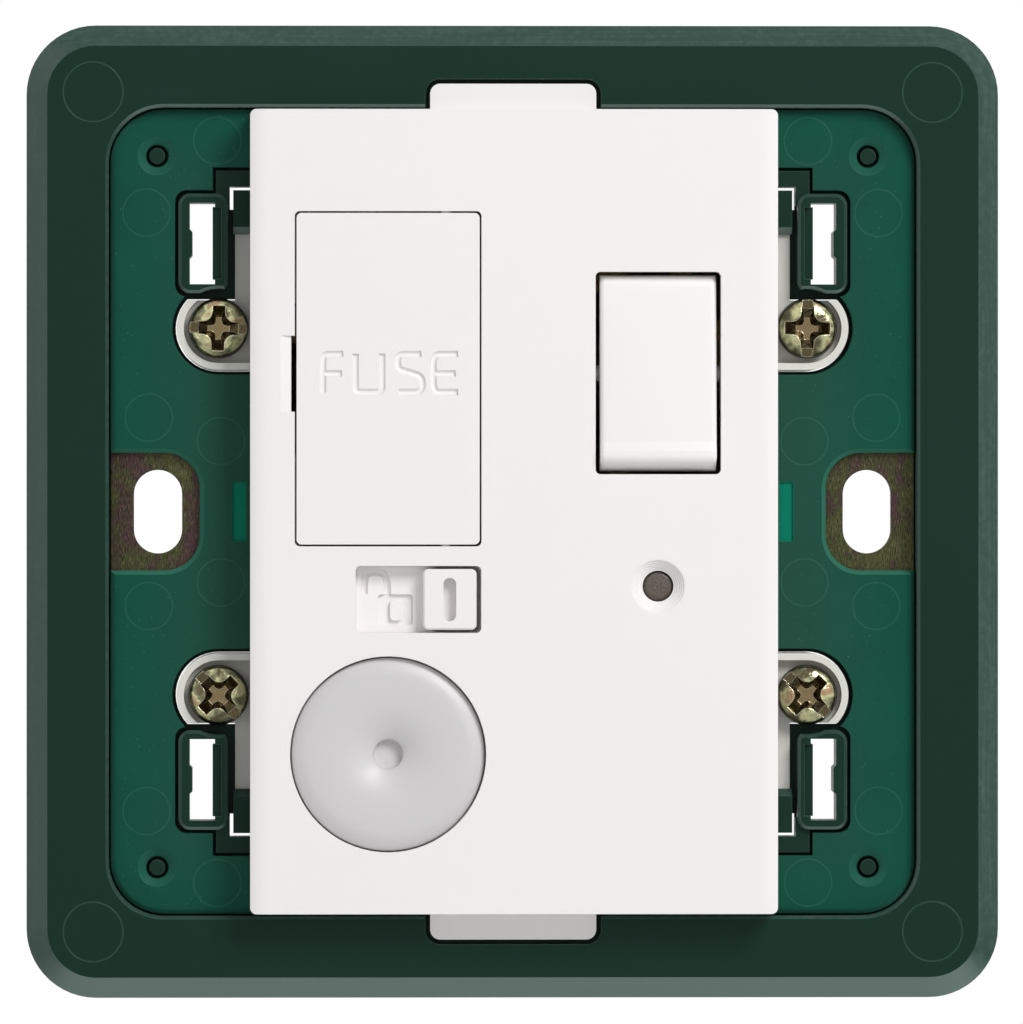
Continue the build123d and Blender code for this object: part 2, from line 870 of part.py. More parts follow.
def rocker_section():
    """Side view of the rocker, level, with a raised lip along its lower end."""
    top = rocker_rise
    lip = rocker_rise + rocker_lip_rise
    foot = -rocker_skirt
    lines = [
        ThreePointArc((-rocker_end(foot), foot), (-rocker_reach, 0), (-rocker_end(lip), lip)),
        Line((-rocker_end(lip), lip), (rocker_lip_width - rocker_end(lip), lip)),
        Line((rocker_lip_width - rocker_end(lip), lip), (2 * rocker_lip_width - rocker_end(lip), top)),
        Line((2 * rocker_lip_width - rocker_end(lip), top), (rocker_end(top), top)),
        ThreePointArc((rocker_end(top), top), (rocker_reach, 0), (rocker_end(foot), foot)),
        Line((rocker_end(foot), foot), (-rocker_end(foot), foot)),
    ]
    return make_face(lines)


def rocker_pose():
    """From the rocker's own pivot to its off position in the face."""
    return Pos(rocker_x, rocker_y, pivot_z) * Rot(X=-rocker_tilt)


def switch_rocker():
    body = extrude(Plane.YZ * rocker_section(), rocker_width / 2, both=True)
    far_end = body.edges().filter_by(Axis.X).group_by(Axis.Z)[-2].sort_by(Axis.Y)[-1]
    body = fillet(far_end, rocker_round)
    hollow_x = around(0, rocker_width / 2 - rocker_wall)
    hollow_y = around(0, rocker_reach - 2 * rocker_wall)
    body -= block(hollow_x, hollow_y, (-rocker_skirt, rocker_wall))
    sleeve_foot = rocker_wall - sleeve_length
    for x in (-pole_offset, pole_offset):
        body += rod(x, 0, sleeve_radius, sleeve_foot, rocker_wall)
        body -= rod(x, 0, plunger_radius + plunger_fit, sleeve_foot, rocker_wall)
    pin_reach = rocker_width / 2 + rocker_side_gap + cheek_wall
    pin = Rot(Y=90) * Cylinder(rocker_pin, 2 * pin_reach)
    middle = around(0, rocker_reach)
    pin -= block(around(0, (rocker_width - rocker_wall) / 2), middle, middle)
    return rocker_pose() * (body + pin)


def plunger_tip():
    """Lowest point of the plungers under the rocker's pivot."""
    return fulcrum_z + arm_thick - arm_drop + plunger_tip_gap - pivot_z


def rocker_plungers():
    plungers = []
    tip = plunger_tip()
    for x in (-pole_offset, pole_offset):
        body = rod(x, 0, plunger_radius, tip, tip + plunger_length)
        body = chamfer(body.edges().group_by(Axis.Z)[0], plunger_point)
        plungers.append(rocker_pose() * body)
    return Part() + plungers


def rocker_springs():
    springs = []
    low = plunger_tip() + plunger_length
    for x in (-pole_offset, pole_offset):
        coil = Circle(plunger_radius) - Circle(plunger_radius - spring_wall)
        springs.append(rocker_pose() * slab(Pos(x, 0) * coil, low, rocker_wall))
    return Part() + springs


def contact_arm(x):
    """A rocking arm with a round groove for its fulcrum and a contact under its upper end."""
    low = -arm_drop
    arm = block(around(0, arm_width / 2), around(0, arm_half), (low, low + arm_thick))
    arm += rod(0, contact_reach - contact_radius / 2, contact_radius, low - contact_rise, low)
    arm -= Rot(Y=90) * Cylinder(fulcrum_radius + fulcrum_fit, arm_width)
    return Pos(x, rocker_y, fulcrum_z) * Rot(X=arm_tilt) * arm


def fixed_contact_top():
    """Height of the fixed contacts, where the arm's contact comes down to when it is on."""
    reach = contact_reach + contact_radius / 2
    drop = reach * sin(radians(arm_tilt)) + (arm_drop + contact_rise) * cos(radians(arm_tilt))
    return fulcrum_z - drop - contact_gap


# Current strips


def run(points):
    """A flat strip along right-angled runs."""
    half = strip_width / 2
    sketch = Sketch()
    for start, end in zip(points, points[1:]):
        x, y = (sorted(pair) for pair in zip(start, end))
        sketch += span((x[0] - half, x[1] + half), (y[0] - half, y[1] + half))
    return slab(sketch, deck, deck_top)


def fulcrum(x):
    post = block(around(x, strip_width / 2), around(rocker_y, fulcrum_radius), (deck, fulcrum_z))
    edge = Rot(Y=90) * Cylinder(fulcrum_radius, strip_width)
    return post + Pos(x, rocker_y, fulcrum_z) * edge


def fixed_contact(x):
    z = (deck, fixed_contact_top())
    return block(around(x, strip_width / 2), around(contact_y, strip_post), z)


def live_inlet_strip():
    x = pole_x[0]
    return run([(ear_x, -ear_y), (x, -ear_y), (x, rocker_y)]) + fulcrum(x)


def neutral_inlet_strip():
    x = pole_x[1]
    turn = body_half - body_wall - strip_width
    return run([(ear_x, ear_y), (turn, ear_y), (turn, rocker_y), (x, rocker_y)]) + fulcrum(x)


def live_fuse_strip():
    x = pole_x[0]
    path = [(x, contact_y), (x, live_run_y), (door_x, live_run_y)]
    return run(path) + fixed_contact(x) + fuse_clip(live_run_y)


def live_outlet_strip():
    y = door_y - fuse_length / 2 + clip_inset
    path = [(door_x, y), (outlet_run_x, y), (outlet_run_x, -ear_y), (-ear_x, -ear_y)]
    return run(path) + fuse_clip(y)


def neutral_outlet_strip():
    x = pole_x[1]
    crossing = [(x, contact_y), (x, neutral_run_y), (outlet_run_x, neutral_run_y)]
    return run(crossing + [(outlet_run_x, ear_y), (-ear_x, ear_y)]) + fixed_contact(x)


# Terminals


def ear_places():
    return [(side * ear_x, end * ear_y) for side in (-1, 1) for end in (-1, 1)]


def terminal_cages():
    cages = []
    top = deck_top + cage_height
    for x, y in ear_places():
        cage = block(around(x, cage_half_x), around(y, cage_half_y), (deck_top, top))
        cage -= rod(x, y, screw_radius + screw_fit, top - wire_drop, top)
        cage -= cross_rod(x, around(y, cage_half_y), top - wire_drop, wire_radius)
        cages.append(cage)
    return Part() + cages


def terminal_screws():
    """Pan heads with a cross drive, each over its shank."""
    screws = []
    low = shelf_front + head_lift
    top = low + head_height
    tip = deck_top + cage_height - wire_drop + wire_radius
    for x, y in ear_places():
        head = rod(x, y, head_radius, low, top)
        head = chamfer(top_edges(head), head_dome)
        for turn in (0, 90):
            bar = Rectangle(drive_length, drive_width, rotation=turn)
            head -= slab(Pos(x, y) * bar, top - drive_depth, top)
        screws.append(head + rod(x, y, screw_radius, tip, low))
    return Part() + screws


# Lock


def lock_slider():
    """A plate behind the window with a raised button, and the bolt that holds the fuse door shut."""
    top = face_back - lock_clear
    back = top - lock_thick
    plate_half = lock_height / 2 + lock_lap
    x = (lock_left - lock_lap, lock_right + lock_lap + lock_travel)
    slider = block(x, around(lock_y, plate_half), (back, top))
    crown = face_front - button_sink
    button = slab(RectangleRounded(button_width, button_height, button_corner), top, crown)
    button = chamfer(top_edges(button), button_bevel)
    groove = SlotOverall(groove_length, groove_width, rotation=90)
    slider += Pos(button_x, lock_y, 0) * (button - slab(groove, crown - groove_depth, crown))
    arm_y = (lock_y + plate_half - bolt_thick, lock_y + plate_half)
    bolt_y = (arm_y[0], door_y - fuse_length / 2 - fuse_fit - cheek_thick + bolt_bite)
    bolt_x = around(button_x, bolt_width / 2)
    bolt_back = back - bolt_drop
    slider += block(bolt_x, arm_y, (bolt_back, back))
    return slider + block(bolt_x, bolt_y, (bolt_back, bolt_back + bolt_thick))


# Cord outlet


def cord_outlet_grommet():
    """A turned form: bevelled rim, shallow funnel, blind hole, thin skin and a flange behind the cap."""
    front = face_front - outlet_sink
    rim = outlet_radius
    flange = outlet_radius + outlet_flange
    back = face_back - outlet_flange_thick
    hole_back = front - outlet_funnel_depth - outlet_hole_depth
    skin_back = hole_back - outlet_skin
    inner = flange - outlet_hollow
    lines = [
        Line((0, hole_back), (outlet_hole, hole_back)),
        Line((outlet_hole, hole_back), (outlet_hole, front - outlet_funnel_depth)),
        Line((outlet_hole, front - outlet_funnel_depth), (outlet_funnel, front)),
        Line((outlet_funnel, front), (rim - outlet_bevel, front)),
        Line((rim - outlet_bevel, front), (rim, front - outlet_bevel)),
        Line((rim, front - outlet_bevel), (rim, face_back)),
        Line((rim, face_back), (flange, face_back)),
        Line((flange, face_back), (flange, back)),
        Line((flange, back), (inner, back)),
        Line((inner, back), (inner, skin_back)),
        Line((inner, skin_back), (0, skin_back)),
        Line((0, skin_back), (0, hole_back)),
    ]
    turned = revolve(Plane.XZ * make_face(lines), Axis.Z)
    return Pos(outlet_x, outlet_y, 0) * turned


# Indicator


def board_places():
    x = lens_x + board_width / 2 - board_inset
    reach = board_height / 2 - board_inset
    return [(x, lens_y - reach), (x, lens_y + reach)]


def indicator_lens():
    flange_back = face_back - lens_flange_thick
    stem = rod(lens_x, lens_y, lens_radius, flange_back, lens_top)
    stem = chamfer(top_edges(stem), lens_bevel)
    return stem + rod(lens_x, lens_y, lens_radius + lens_flange, flange_back, face_back)


def indicator_lamp():
    lamp = rod(lens_x, lens_y, lamp_radius, board_front, board_front + lamp_height)
    return chamfer(top_edges(lamp), lamp_point)


def indicator_board():
    board = span(around(lens_x, board_width / 2), around(lens_y, board_height / 2))
    return slab(board, board_front - board_thick, board_front)


# Rear pieces


def clamp_places():
    return [outlet_x - clamp_span / 2, outlet_x + clamp_span / 2]


def rear_screw(x, y, seat, tip):
    """A slotted screw that points forward, with its head against a seat."""
    head = rod(x, y, rear_head_radius, seat - rear_head_height, seat)
    slot_y = around(y, rear_slot / 2)
    depth = (seat - rear_head_height, seat - rear_head_height / 2)
    head -= block(around(x, rear_head_radius), slot_y, depth)
    return head + rod(x, y, rear_screw_radius, seat, tip)


def cord_clamp_bar():
    back = rear - clamp_gap
    outline = Pos(outlet_x, clamp_y) * SlotOverall(clamp_span + clamp_bar_width, clamp_bar_width)
    for x in clamp_places():
        outline -= Pos(x, clamp_y) * Circle(rear_screw_radius + screw_pass)
    bar = slab(outline, back - clamp_bar_thick, back)
    grip_x = around(outlet_x, clamp_span / 2 - clamp_post_radius - clamp_rib)
    return bar + block(grip_x, around(clamp_y, clamp_rib), (back, back + clamp_rib))


def cord_clamp_screws():
    seat = rear - clamp_gap - clamp_bar_thick
    return Part() + [rear_screw(x, clamp_y, seat, rear) for x in clamp_places()]


def earth_screw_places():
    return [earth_x - earth_screw_spacing / 2, earth_x + earth_screw_spacing / 2]


def earth_terminal():
    outer = rear - earth_height
    bar = block(around(earth_x, earth_length / 2), around(earth_y, earth_width / 2), (outer, rear))
    for x in earth_screw_places():
        bar -= rod(x, earth_y, rear_screw_radius + screw_fit, outer, outer + earth_height / 2)
        bar -= cross_rod(x, around(earth_y, earth_width / 2), outer + earth_height / 2, wire_radius)
    return bar


def earth_screws():
    seat = rear - earth_height - head_lift
    tip = rear - earth_height / 2 - wire_radius
    return Part() + [rear_screw(x, earth_y, seat, tip) for x in earth_screw_places()]


def assembly_screws():
    tip = deck + boss_seat + boss_grip
    return Part() + [rear_screw(x, y, rear, tip) for x, y in assembly_places()]


# Export, stood up so that z is up and the face looks along minus y

pieces = {
    "mounting_frame": mounting_frame(),
    "fixing_plate": fixing_plate(),
    "insulating_cover": insulating_cover(),
    "front_cover": front_cover(),
    "base_housing": base_housing(),
    "fuse_door": fuse_door(),
    "fuse_tube": fuse_tube(),
    "fuse_caps": fuse_caps(),
    "switch_rocker": switch_rocker(),
    "rocker_plungers": rocker_plungers(),
    "rocker_springs": rocker_springs(),
    "live_contact_arm": contact_arm(pole_x[0]),
    "neutral_contact_arm": contact_arm(pole_x[1]),
    "live_inlet_strip": live_inlet_strip(),
    "neutral_inlet_strip": neutral_inlet_strip(),
    "live_fuse_strip": live_fuse_strip(),
    "live_outlet_strip": live_outlet_strip(),
    "neutral_outlet_strip": neutral_outlet_strip(),
    "terminal_cages": terminal_cages(),
    "terminal_screws": terminal_screws(),
    "lock_slider": lock_slider(),
    "cord_outlet_grommet": cord_outlet_grommet(),
    "indicator_lens": indicator_lens(),
    "indicator_lamp": indicator_lamp(),
    "indicator_board": indicator_board(),
    "cord_clamp_bar": cord_clamp_bar(),
    "cord_clamp_screws": cord_clamp_screws(),
    "earth_terminal": earth_terminal(),
    "earth_screws": earth_screws(),
    "assembly_screws": assembly_screws(),
}

os.makedirs("parts", exist_ok=True)
for name, piece in pieces.items():
    export_step(Rot(X=90) * piece, f"parts/{name}.step")
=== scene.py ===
"""Looks of a fused spur unit: finishes, engraved signs, screw heads, light and camera."""

import math

import bmesh
import bpy
from mathutils import Matrix, Vector


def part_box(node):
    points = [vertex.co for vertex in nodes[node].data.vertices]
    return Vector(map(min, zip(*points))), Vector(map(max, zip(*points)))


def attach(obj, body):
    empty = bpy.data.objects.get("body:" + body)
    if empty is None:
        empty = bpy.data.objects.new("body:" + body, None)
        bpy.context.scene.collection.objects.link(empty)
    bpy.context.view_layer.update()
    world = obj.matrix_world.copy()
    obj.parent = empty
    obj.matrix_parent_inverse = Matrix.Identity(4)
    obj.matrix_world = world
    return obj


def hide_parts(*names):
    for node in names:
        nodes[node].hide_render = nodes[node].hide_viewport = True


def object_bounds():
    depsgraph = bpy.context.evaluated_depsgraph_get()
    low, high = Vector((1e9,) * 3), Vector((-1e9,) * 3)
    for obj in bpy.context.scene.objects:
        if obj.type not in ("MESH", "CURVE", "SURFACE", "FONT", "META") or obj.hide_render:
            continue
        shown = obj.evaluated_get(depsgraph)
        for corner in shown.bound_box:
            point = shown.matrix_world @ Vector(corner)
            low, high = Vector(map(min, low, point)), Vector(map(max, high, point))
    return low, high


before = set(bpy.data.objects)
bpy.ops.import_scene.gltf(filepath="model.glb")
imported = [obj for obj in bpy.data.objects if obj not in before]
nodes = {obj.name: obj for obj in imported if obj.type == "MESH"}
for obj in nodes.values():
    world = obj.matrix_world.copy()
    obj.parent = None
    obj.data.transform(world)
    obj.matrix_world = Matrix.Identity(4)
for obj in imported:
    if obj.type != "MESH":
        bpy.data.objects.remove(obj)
cad_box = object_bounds()

MM = 0.001

# Photograph and camera
IMAGE_WIDTH = 1023
PIXELS_PER_MM = 11.78
CAMERA_DISTANCE = 900 * MM
CAMERA_TURN = math.radians(-1.2)
CAMERA_AIM = (-0.15, -0.03)
SENSOR_WIDTH = 36.0

# Engraved word on the fuse door: places of the letters' left edges and their stroke points, in millimetres
WORD_FOOT = -1.35
WORD_STROKE = 0.56
WORD_DEPTH = 0.25
LETTERS = [
    (-5.8, [(0.3, 0.2), (0.3, 2.6), (0.35, 3.4), (1.0, 3.43), (2.0, 3.43)]),
    (-5.8, [(0.35, 1.8), (1.2, 1.8), (1.9, 1.8)]),
    (-3.0, [
        (0.25, 3.45), (0.25, 1.2), (0.25, 0.25), (1.1, 0.22), (1.7, 0.22), (2.5, 0.25), (2.5, 1.2),
        (2.5, 3.45),
    ]),
    (0.7, [
        (2.1, 3.43), (1.1, 3.43), (0.1, 3.4), (0.1, 2.2), (1.1, 1.9), (2.2, 1.6), (2.2, 0.25), (1.1, 0.22),
        (0.2, 0.22),
    ]),
    (3.6, [(2.3, 3.43), (1.2, 3.43), (0.25, 3.4), (0.2, 1.8), (0.25, 0.25), (1.2, 0.22), (2.3, 0.22)]),
    (3.6, [(0.3, 1.8), (1.2, 1.8), (2.1, 1.8)]),
]

# Lock plate: its lap behind the window, the button's rise over it and the window's top over its foot
PLATE_LAP = 0.5
BUTTON_RISE = 1.6
PLATE_RISE = 6.15

# Engraved open padlock on the lock's plate, measured from the window's upper left corner
SIGN_DEPTH = 0.34
SHACKLE_STROKE = 0.6
SHACKLE = [(0.73, -2.35), (0.73, -1.4), (0.9, -0.65), (1.65, -0.45), (2.45, -0.65), (2.7, -1.4), (2.7, -2.6)]
LATCH_BODY = (1.88, -5.0, 4.84, -2.42)
LATCH_BODY_ROUND = 0.32
KEYHOLE = (2.9, -4.62, 3.98, -2.9)

# Groove along the button and the deep gap round its far side, also from the window's upper left corner
GROOVE = (7.42, -4.64, 8.47, -1.01)
GROOVE_DEPTH = 1.3
GAP = (6.4, -5.55, 10.5, -0.1)
BUTTON = (5.66, -5.415, 10.23, -0.235)
BUTTON_ROUND = 0.47
GAP_DEPTH = 1.0

# Cutting tools: steps of a corner and of a stroke, a round end's share of its width, slant of corner edges
CORNER_STEPS = 4
STROKE_STEPS = 3
FULL_ROUND = 0.499
CORNER_EDGE = 0.9

# Rocker: depth of its front behind its foremost edge, and the rounding of the sharp edges there
ROCKER_FRONT = 2.4
ROCKER_SHARP = math.radians(50)
ROCKER_ROUND = 0.45
ROCKER_STEPS = 9
ROCKER_CREASE = math.radians(11)
FLAT_ANGLE = math.radians(1)

# Terminal screws: radius of the solid's head, which gives the place, then the head's profile, drive and shank
HEAD_RADIUS = 2.45
HEAD_EDGE = 2.55
HEAD_HEIGHT = 1.9
HEAD_CROWN = [
    (0.0, 0.0), (0.9, 0.01), (1.5, 0.06), (1.95, 0.18), (2.25, 0.35), (2.45, 0.62), (HEAD_EDGE, 0.95),
]
SLOT_LENGTH = 2.2 * HEAD_EDGE
SLOT_WIDTH = 0.9
SLOT_DEPTH = 0.6
CROSS_HALF = 0.54
CROSS_REACH = 2.0
CROSS_HOLLOW = 0.85
CROSS_LEVELS = [(1.0, -0.5), (1.0, 0.0), (0.88, 0.55), (0.46, 1.25)]
CROSS_STEPS = 8
SHANK_RADIUS = 1.4
SCREW_TURNS = {(-1, 1): 2, (1, 1): 91, (-1, -1): 47, (1, -1): 44}

# Cord outlet disc: radius and depth behind its front, from the blind hole out to the flange at the rear
OUTLET_PROFILE = [
    (0.0, 1.85), (1.0, 1.85), (1.16, 1.8), (1.23, 1.65), (1.26, 1.0), (1.4, 0.88), (1.7, 0.72), (2.1, 0.55),
    (2.6, 0.37), (3.1, 0.22), (3.7, 0.1), (4.4, 0.03), (5.2, 0.0), (6.6, 0.0), (6.95, 0.03), (7.25, 0.1),
    (7.55, 0.21), (7.85, 0.35), (8.05, 0.48), (8.13, 0.6), (8.15, 0.8), (8.15, 1.5), (8.65, 1.5), (8.65, 2.9),
    (6.9, 2.9), (6.9, 2.05), (0.0, 2.05),
]

# Dark lens, radius and depth behind its crown
LENS_PROFILE = [
    (0.0, 0.0), (0.9, 0.01), (1.08, 0.03), (1.18, 0.1), (1.24, 0.24), (1.25, 0.4), (1.25, 0.6),
    (2.1, 0.6), (2.1, 1.9), (0.0, 1.9),
]

# Dimple round the lens: radius at the face and at its foot, depth, and the rings that a turned tool leaves
DIMPLE_RADIUS = 2.35
DIMPLE_FOOT = 1.31
DIMPLE_DEPTH = 0.9
DIMPLE_RINGS = 6
RING_TILT = 0.03
RING_BED = 0.08

# Bright keys of the green sheet beside the module: place from the middle, width, length and soft edge
KEY_PLACE = 23.25
KEY_WIDTH = 1.1
KEY_LENGTH = 5.0
KEY_FADE = 0.1

# Round marks of the moulding tool on the green sheet and on the frame: centre and radius
SHEET_MARKS = [(25.1, 31.5, 2.0), (31.1, 25.4, 2.0), (30.9, 8.0, 2.0), (24.8, 6.0, 2.0)]
FRAME_MARKS = [(35.6, 35.6, 2.53)]

# Floor, out of the picture below the unit
FLOOR_HALF = 450
FLOOR_DROP = 30
FLOOR_GLOW = 0.55
FLOOR_COLOUR = (0.9, 0.9, 0.9, 1.0)
FLOOR_ROUGHNESS = 0.9

# Light: level of the even surround, and each lamp's place in metres, power and size
SURROUND_LEVEL = 0.345
KEY_LAMP = ((0.45, -0.75, 0.55), 6.9, 0.4)
FILL_LAMP = ((-0.6, -0.7, 0.1), 0.45, 0.6)

# Meshes and edges: steps of a full turn, distance at which points merge, crease angle, samples of soft edges
SPIN_STEPS = 96
MERGE = 0.002 * MM
SMOOTH_ANGLE = math.radians(35)
EDGE_SAMPLES = 6


# Shader building


def tint(red, green, blue):
    """A colour given in display numbers from 0 to 255, as the shader wants it."""
    linear = [c / 3294.6 if c <= 10.31 else ((c / 255 + 0.055) / 1.055) ** 2.4 for c in (red, green, blue)]
    return (*linear, 1.0)


class Value:
    """A shader socket that can stand in a Python expression."""

    def __init__(self, finish, socket):
        self.finish = finish
        self.socket = socket

    def maths(self, operation, left, right=0.0):
        """The result of one Math node on two values or numbers."""
        return self.finish.node("Math", {"operation": operation}, {0: left, 1: right})

    def __add__(self, other):
        return self.maths("ADD", self, other)

    def __radd__(self, other):
        return self.maths("ADD", other, self)

    def __sub__(self, other):
        return self.maths("SUBTRACT", self, other)

    def __rsub__(self, other):
        return self.maths("SUBTRACT", other, self)

    def __mul__(self, other):
        return self.maths("MULTIPLY", self, other)

    def __rmul__(self, other):
        return self.maths("MULTIPLY", other, self)

    def __pow__(self, other):
        return self.maths("POWER", self, other)

    def __abs__(self):
        return self.maths("ABSOLUTE", self)

    def most(self, other):
        """The larger of two values."""
        return self.maths("MAXIMUM", self, other)

    def between(self, low, high):
        """0 below low and 1 above high, eased in between."""
        settings = {"interpolation_type": "SMOOTHSTEP"}
        return self.finish.node("MapRange", settings, {"Value": self, "From Min": low, "From Max": high})


class Finish:
    """One material, built node by node around its main shader, with sizes in millimetres."""

    def __init__(self, name, **constants):
        self.material = bpy.data.materials.new(name)
        self.material.use_nodes = True
        self.tree = self.material.node_tree
        self.shader = self.tree.nodes["Principled BSDF"]
        for key, value in constants.items():
            self.shader.inputs[key.replace("_", " ")].default_value = value

    def node(self, kind, settings, inputs, output=0):
        """Adds a node, sets it up first and then gives its sockets values or links."""
        made = self.tree.nodes.new("ShaderNode" + kind)
        for key, value in settings.items():
            if key == "stops":
                self.set_stops(made.color_ramp, value)
            else:
                setattr(made, key, value)
        for key, value in inputs.items():
            if isinstance(value, Value):
                self.tree.links.new(value.socket, made.inputs[key])
            else:
                made.inputs[key].default_value = value
        return Value(self, made.outputs[output])

    def set_stops(self, ramp, stops):
        """Gives a colour ramp its places and colours."""
        while len(ramp.elements) < len(stops):
            ramp.elements.new(1.0)
        for element, (place, colour) in zip(ramp.elements, stops):
            element.position = place
            element.color = colour

    def feed(self, socket, value):
        """Links a value to one of the main shader's sockets."""
        self.tree.links.new(value.socket, self.shader.inputs[socket])

    def spot(self):
        """The point on the piece, as three values in millimetres."""
        place = self.node("TexCoord", {}, {}, output="Object")
        scaled = self.node("VectorMath", {"operation": "SCALE"}, {0: place, "Scale": 1 / MM})
        return [self.node("SeparateXYZ", {}, {0: scaled}, output=axis) for axis in "XYZ"]

    def facing(self, axis="Y"):
        """How far the surface looks against an axis, from -1 to 1: against y is towards the room."""
        normal = self.node("NewGeometry", {}, {}, output="Normal")
        return self.node("SeparateXYZ", {}, {0: normal}, output=axis) * -1.0

    def edges(self, radius):
        """1 along edges, fading to 0 at a radius in millimetres."""
        normal = self.node("NewGeometry", {}, {}, output="Normal")
        rounded = self.node("Bevel", {"samples": EDGE_SAMPLES}, {"Radius": radius * MM})
        product = {"operation": "DOT_PRODUCT"}
        likeness = self.node("VectorMath", product, {0: normal, 1: rounded}, output="Value")
        return (1.0 - likeness).between(0.01, 0.2)

    def noise(self, size, detail=3.0, rough=0.5):
        """A cloud pattern whose features have the given sizes along x, y and z, in millimetres."""
        place = self.node("TexCoord", {}, {}, output="Object")
        scale = tuple(1 / (length * MM) for length in size)
        mapped = self.node("Mapping", {}, {"Vector": place, "Scale": scale})
        inputs = {"Vector": mapped, "Scale": 1.0, "Detail": detail, "Roughness": rough}
        return self.node("TexNoise", {}, inputs)

    def mix(self, amount, first, second):
        """The first colour at an amount of 0, the second at 1."""
        return self.node("Mix", {"data_type": "RGBA"}, {0: amount, 6: first, 7: second}, output=2)

    def ramp(self, amount, stops):
        """A colour from a row of stops, each a place and a colour."""
        return self.node("ValToRGB", {"stops": stops}, {0: amount})

    def glow_to_camera(self, share):
        """Shows the camera, and nothing else, a share of plain white over the shaded surface."""
        seen = self.node("LightPath", {}, {}, output="Is Camera Ray") * share
        white = self.node("Emission", {}, {"Strength": 1.0})
        lit = Value(self, self.shader.outputs[0])
        both = self.node("MixShader", {}, {0: seen, 1: lit, 2: white})
        self.tree.links.new(both.socket, self.tree.nodes["Material Output"].inputs["Surface"])

    def relief(self, height, depth, round_edges):
        """A small relief of the given depth in millimetres, over edges that look rounded by a radius."""
        normal = self.node("Bevel", {"samples": EDGE_SAMPLES}, {"Radius": round_edges * MM})
        bump = {"Height": height, "Distance": depth * MM, "Strength": 1.0, "Normal": normal}
        self.feed("Normal", self.node("Bump", {}, bump))


# Finishes


def moulded(name, colour, roughness, round_edges, cloud=0.03, **constants):
    """Satin moulding: faint clouds in the colour, a fine skin and soft edges."""
    finish = Finish(name, **constants)
    clouds = finish.noise((9, 9, 9))
    darker = tuple(c * (1 - cloud) for c in colour[:3]) + (1.0,)
    finish.feed("Base Color", finish.mix(clouds, colour, darker))
    skin = finish.noise((0.22, 0.22, 0.22), detail=2.0)
    finish.feed("Roughness", roughness + 0.08 * (skin - 0.5))
    finish.relief(skin, 0.006, round_edges)
    return finish.material


def frame_finish():
    """Dark bottle green with a round tool mark in each corner; the slopes carry a streaked painted sheen,
    paler as painted reflection where they face down and as painted light where they face left, and the flats
    a painted highlight along their edges.
    """
    finish = Finish("frame_green", Specular_IOR_Level=0.12)
    x, _, z = finish.spot()
    clouds = finish.noise((14, 14, 14))
    streaks = finish.noise((0.5, 0.5, 9.0), detail=3.0) + finish.noise((9.0, 0.5, 0.5), detail=3.0)
    front = abs(finish.facing()).between(0.6, 0.95)
    flat = finish.mix(clouds, tint(12, 43, 32), tint(15, 47, 36))
    # Painted sheen: the slopes, the same green plastic as the flats, are painted paler and streaked where
    # they face the lights.
    painted_slope_sheen = finish.mix((streaks - 0.6).between(0.2, 0.9), tint(48, 74, 66), tint(66, 92, 84))
    # Painted reflection: slopes that face down are paler, as if they mirrored light from below.
    painted_slope_sheen = finish.mix(finish.facing("Z").between(0.3, 0.7), painted_slope_sheen, tint(112, 132, 126))
    # Painted light: slopes that face left are paler, as if lit from that side.
    painted_slope_sheen = finish.mix(0.6 * finish.facing("X").between(0.3, 0.7), painted_slope_sheen, tint(88, 106, 100))
    marks = tool_marks(finish, x, z, FRAME_MARKS)
    flat = finish.mix(0.3 * marks, flat, tint(70, 110, 92))
    # Painted highlight: the flats turn paler along their edges.
    flat = finish.mix(0.5 * finish.edges(0.12), flat, tint(96, 128, 114))
    finish.feed("Base Color", finish.mix(front, painted_slope_sheen, flat))
    skin = finish.noise((0.18, 0.18, 0.18), detail=2.0)
    finish.feed("Roughness", 0.32 + 0.1 * skin)
    finish.relief(0.2 * skin - marks, 0.03, 0.12)
    return finish.material


def sheet_finish():
    """Translucent green sheet with a painted glow at its outer edges and on its edge faces, painted shade
    towards the module, and round tool marks.
    """
    finish = Finish("cover_green", Specular_IOR_Level=0.08)
    x, _, z = finish.spot()
    # Painted glow and painted shade: greener towards the outer edges, greyer and a little darker towards the
    # module.
    edge = abs(x).most(abs(z)).between(21.0, 34.5)
    clouds = finish.noise((5, 5, 5))
    inner = finish.mix(clouds, tint(36, 78, 65), tint(31, 70, 57))
    outer = finish.mix(clouds, tint(13, 84, 67), tint(15, 71, 56))
    sheet = finish.mix(edge, inner, outer)
    across = abs(abs(x) - KEY_PLACE).between(KEY_WIDTH / 2, KEY_WIDTH / 2 + KEY_FADE)
    along = abs(z).between(KEY_LENGTH / 2, KEY_LENGTH / 2 + KEY_FADE)
    sheet = finish.mix((1.0 - across) * (1.0 - along), sheet, tint(0, 116, 92))
    dust = finish.noise((0.2, 0.2, 0.2), detail=1.0).between(0.7, 0.76)
    sheet = finish.mix(0.25 * dust, sheet, tint(120, 150, 140))
    marks = tool_marks(finish, x, z, SHEET_MARKS)
    front = finish.facing().between(0.55, 0.95)
    face = finish.mix(0.1 * marks, sheet, tint(90, 150, 128))
    # Painted glow: faces that do not look towards the room, such as the sheet's edges, get a paler green.
    finish.feed("Base Color", finish.mix(front, tint(58, 122, 102), face))
    skin = finish.noise((0.3, 0.3, 0.3), detail=2.0)
    finish.feed("Roughness", 0.28 + 0.12 * skin)
    finish.relief(0.4 * skin - marks, 0.01, 0.15)
    return finish.material


def tool_marks(finish, x, z, places):
    """1 on the thin rings that the moulding tool leaves, one set in each quarter."""
    rings = 0.0
    for mark_x, mark_z, radius in places:
        reach = ((abs(x) - mark_x) ** 2.0 + (abs(z) - mark_z) ** 2.0) ** 0.5
        ring = 1.0 - abs(reach - radius).between(0.03, 0.1)
        rings = ring + rings
    return rings


